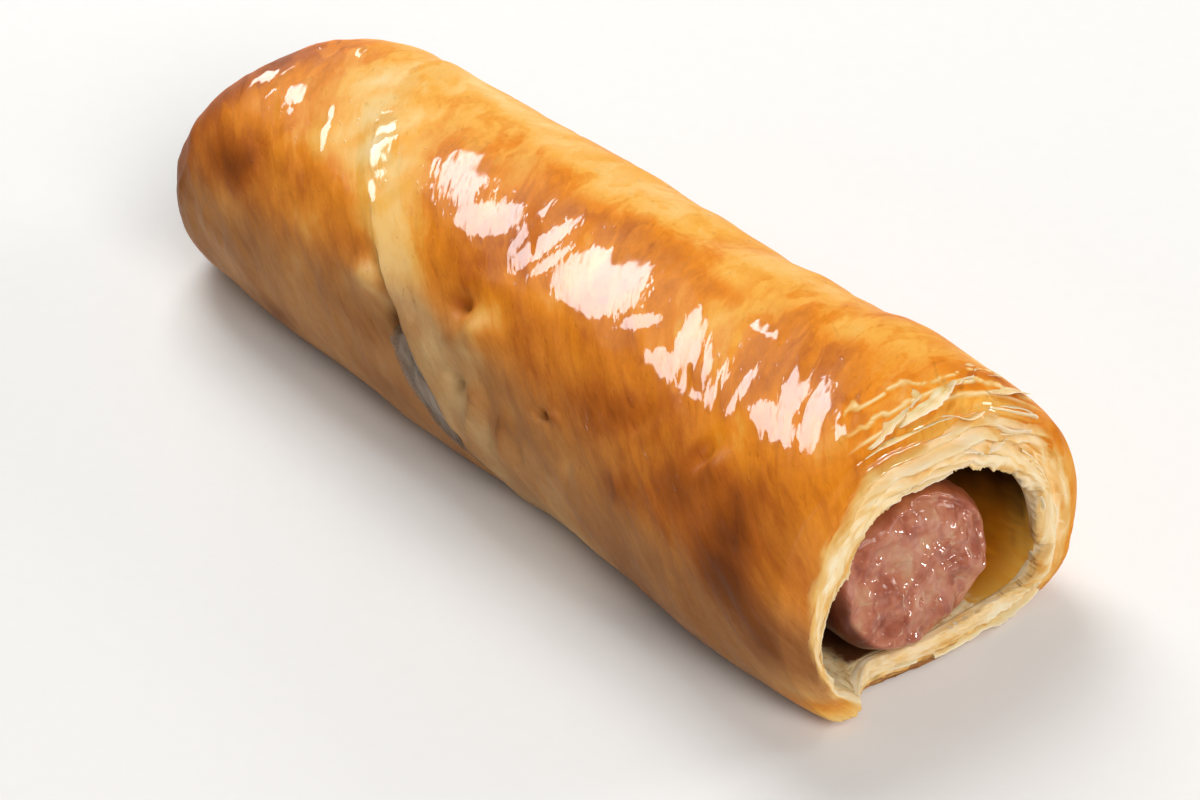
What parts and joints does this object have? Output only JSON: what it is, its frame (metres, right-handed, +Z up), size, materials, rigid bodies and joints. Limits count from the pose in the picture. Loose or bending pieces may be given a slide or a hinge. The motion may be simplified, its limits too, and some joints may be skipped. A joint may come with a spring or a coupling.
{
  "type": "sausage roll",
  "caption": "Baked sausage roll lying on its flat base: a glazed puff pastry tube with an oblique lap seam, one end curled in, the other cut open on a sausage in a roomy hollow.",
  "frame": {"origin": "on the surface that the roll lies on, under the middle of its bounding box", "axes": "+X along the roll towards the open cut end, +Y across it towards the back, +Z up; the lap seam's lip shows on the -Y side"},
  "size_m": [0.1573, 0.0598, 0.0373],
  "materials": {
    "baked_pastry": "baked puff pastry under a glossy egg glaze, golden brown outside and cream on its cut edges",
    "sausage_meat": "moist cooked sausage meat, mottled pink and brown"
  },
  "bodies": {
    "root": {"pastry": "baked_pastry", "sausage": "sausage_meat"}
  },
  "joints": []
}
